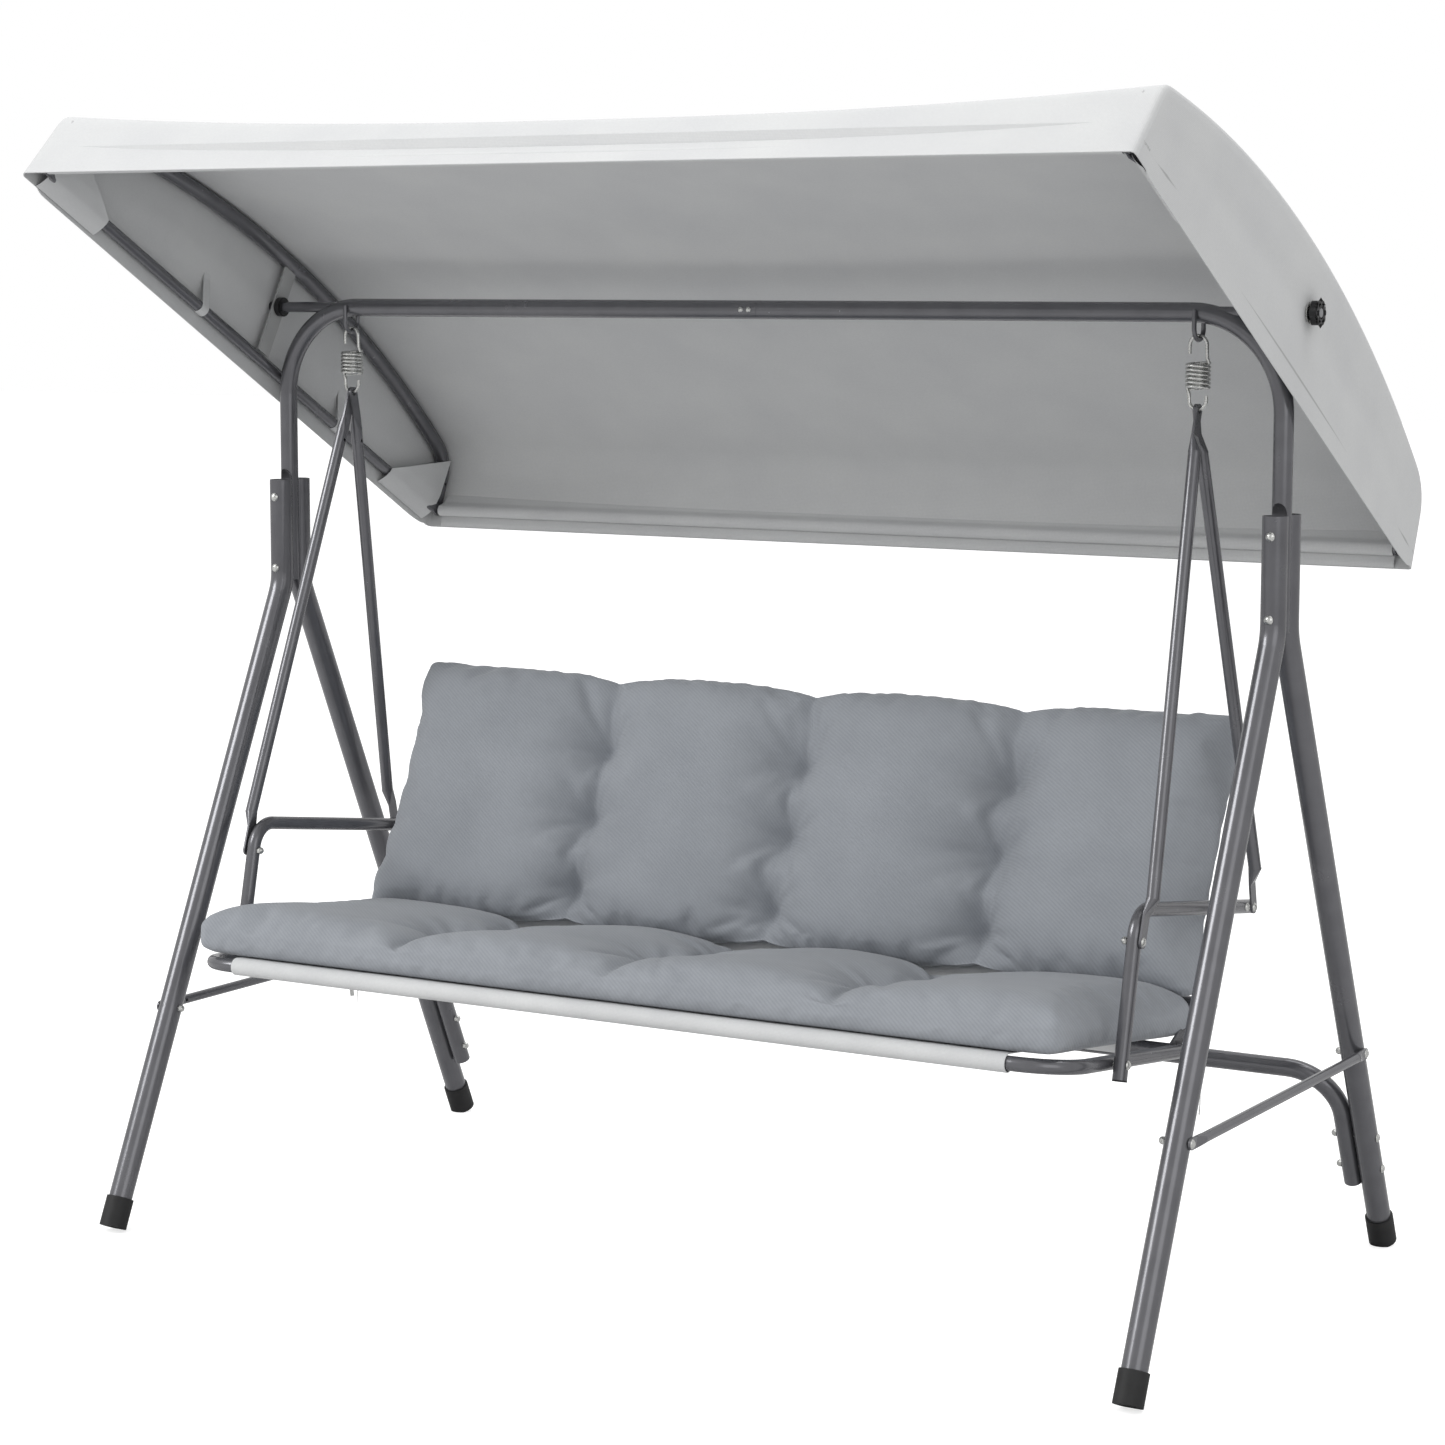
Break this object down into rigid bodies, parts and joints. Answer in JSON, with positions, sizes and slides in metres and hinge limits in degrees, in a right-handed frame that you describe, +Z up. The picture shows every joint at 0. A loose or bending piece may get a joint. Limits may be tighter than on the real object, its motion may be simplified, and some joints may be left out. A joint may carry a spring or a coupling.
{
  "type": "canopy swing seat",
  "caption": "Garden swing bench for three with a padded seat and back, a tubular A-frame stand and a tilting fabric canopy.",
  "frame": {"origin": "on the ground, below the middle of the whole swing with its canopy; the middle between the four feet is 45.5 mm behind it", "axes": "+Z up; -Y is the side one sits down from; +X is to the right for a person who looks at the seat from the front"},
  "size_m": [1.7596, 1.0423, 1.6522],
  "materials": {
    "frame_steel": "dark grey gloss powder coat",
    "zinc": "bright zinc plate",
    "spring_steel": "bright plated spring wire",
    "foot_rubber": "black moulded rubber",
    "black_plastic": "fine matte",
    "sling_cloth": "plain weave webbing",
    "cushion_cloth": "fine woven polyester",
    "canopy_cloth": "coated plain weave"
  },
  "bodies": {
    "stand": {"front_leg_left": "frame_steel", "front_leg_right": "frame_steel", "rear_leg_left": "frame_steel", "rear_leg_right": "frame_steel", "rubber_feet": "foot_rubber", "beam_left": "frame_steel", "beam_right": "frame_steel", "stretcher_left": "frame_steel", "stretcher_right": "frame_steel", "brace_left": "frame_steel", "brace_right": "frame_steel", "leg_bolts": "zinc", "brace_bolts": "zinc", "stretcher_bolts": "zinc", "stand_nuts": "zinc", "stand_screws": "zinc", "coupler_left": "black_plastic", "coupler_right": "black_plastic"},
    "springs": {"spring_left": "spring_steel", "spring_right": "spring_steel"},
    "seat": {"front_arm_left": "frame_steel", "front_arm_right": "frame_steel", "rear_arm_left": "frame_steel", "rear_arm_right": "frame_steel", "armrest_left": "frame_steel", "armrest_right": "frame_steel", "tube_plugs": "foot_rubber", "seat_frame_left": "frame_steel", "seat_frame_right": "frame_steel", "back_frame_left": "frame_steel", "back_frame_right": "frame_steel", "seat_rear_rail": "frame_steel", "back_lower_rail": "frame_steel", "corner_bracket_left": "frame_steel", "corner_bracket_right": "frame_steel", "arm_bolts": "zinc", "armrest_bolts": "zinc", "rail_bolts": "zinc", "bench_nuts": "zinc", "bench_screws": "zinc", "seat_sling": "sling_cloth", "back_sling": "sling_cloth", "seat_cushion": "cushion_cloth", "back_cushion": "cushion_cloth", "cushion_ties": "sling_cloth"},
    "canopy": {"canopy_arch_left": "frame_steel", "canopy_arch_right": "frame_steel", "canopy_bar_left": "frame_steel", "canopy_bar_right": "frame_steel", "canopy_front_rail": "frame_steel", "canopy_rear_rail": "frame_steel", "canopy_bolts": "zinc", "canopy_cover": "canopy_cloth", "cover_eyelets": "zinc"},
    "knob_left": {"knob_left": "black_plastic"},
    "knob_right": {"knob_right": "black_plastic"}
  },
  "joints": [
    {"name": "seat_swing", "type": "hinge", "parent": "stand", "child": "springs", "pos_m": [0, 0.0455, 1.3439], "axis": [1, 0, 0], "range_deg": [-20, 20]},
    {"name": "seat_bounce", "type": "slide", "parent": "springs", "child": "seat", "axis": [0, 0, -1], "range_m": [0, 0.012], "stiffness_N_per_m": 100000, "springref_m": -0.003, "deforming": ["spring_left", "spring_right"]},
    {"name": "canopy_tilt", "type": "hinge", "parent": "stand", "child": "canopy", "pos_m": [0, 0.0455, 1.375], "axis": [1, 0, 0], "range_deg": [0, 59]},
    {"name": "knob_left_turn", "type": "hinge", "parent": "canopy", "child": "knob_left", "pos_m": [-0.87, 0.0455, 1.375], "axis": [1, 0, 0], "continuous": true},
    {"name": "knob_right_turn", "type": "hinge", "parent": "canopy", "child": "knob_right", "pos_m": [0.87, 0.0455, 1.375], "axis": [1, 0, 0], "continuous": true}
  ]
}
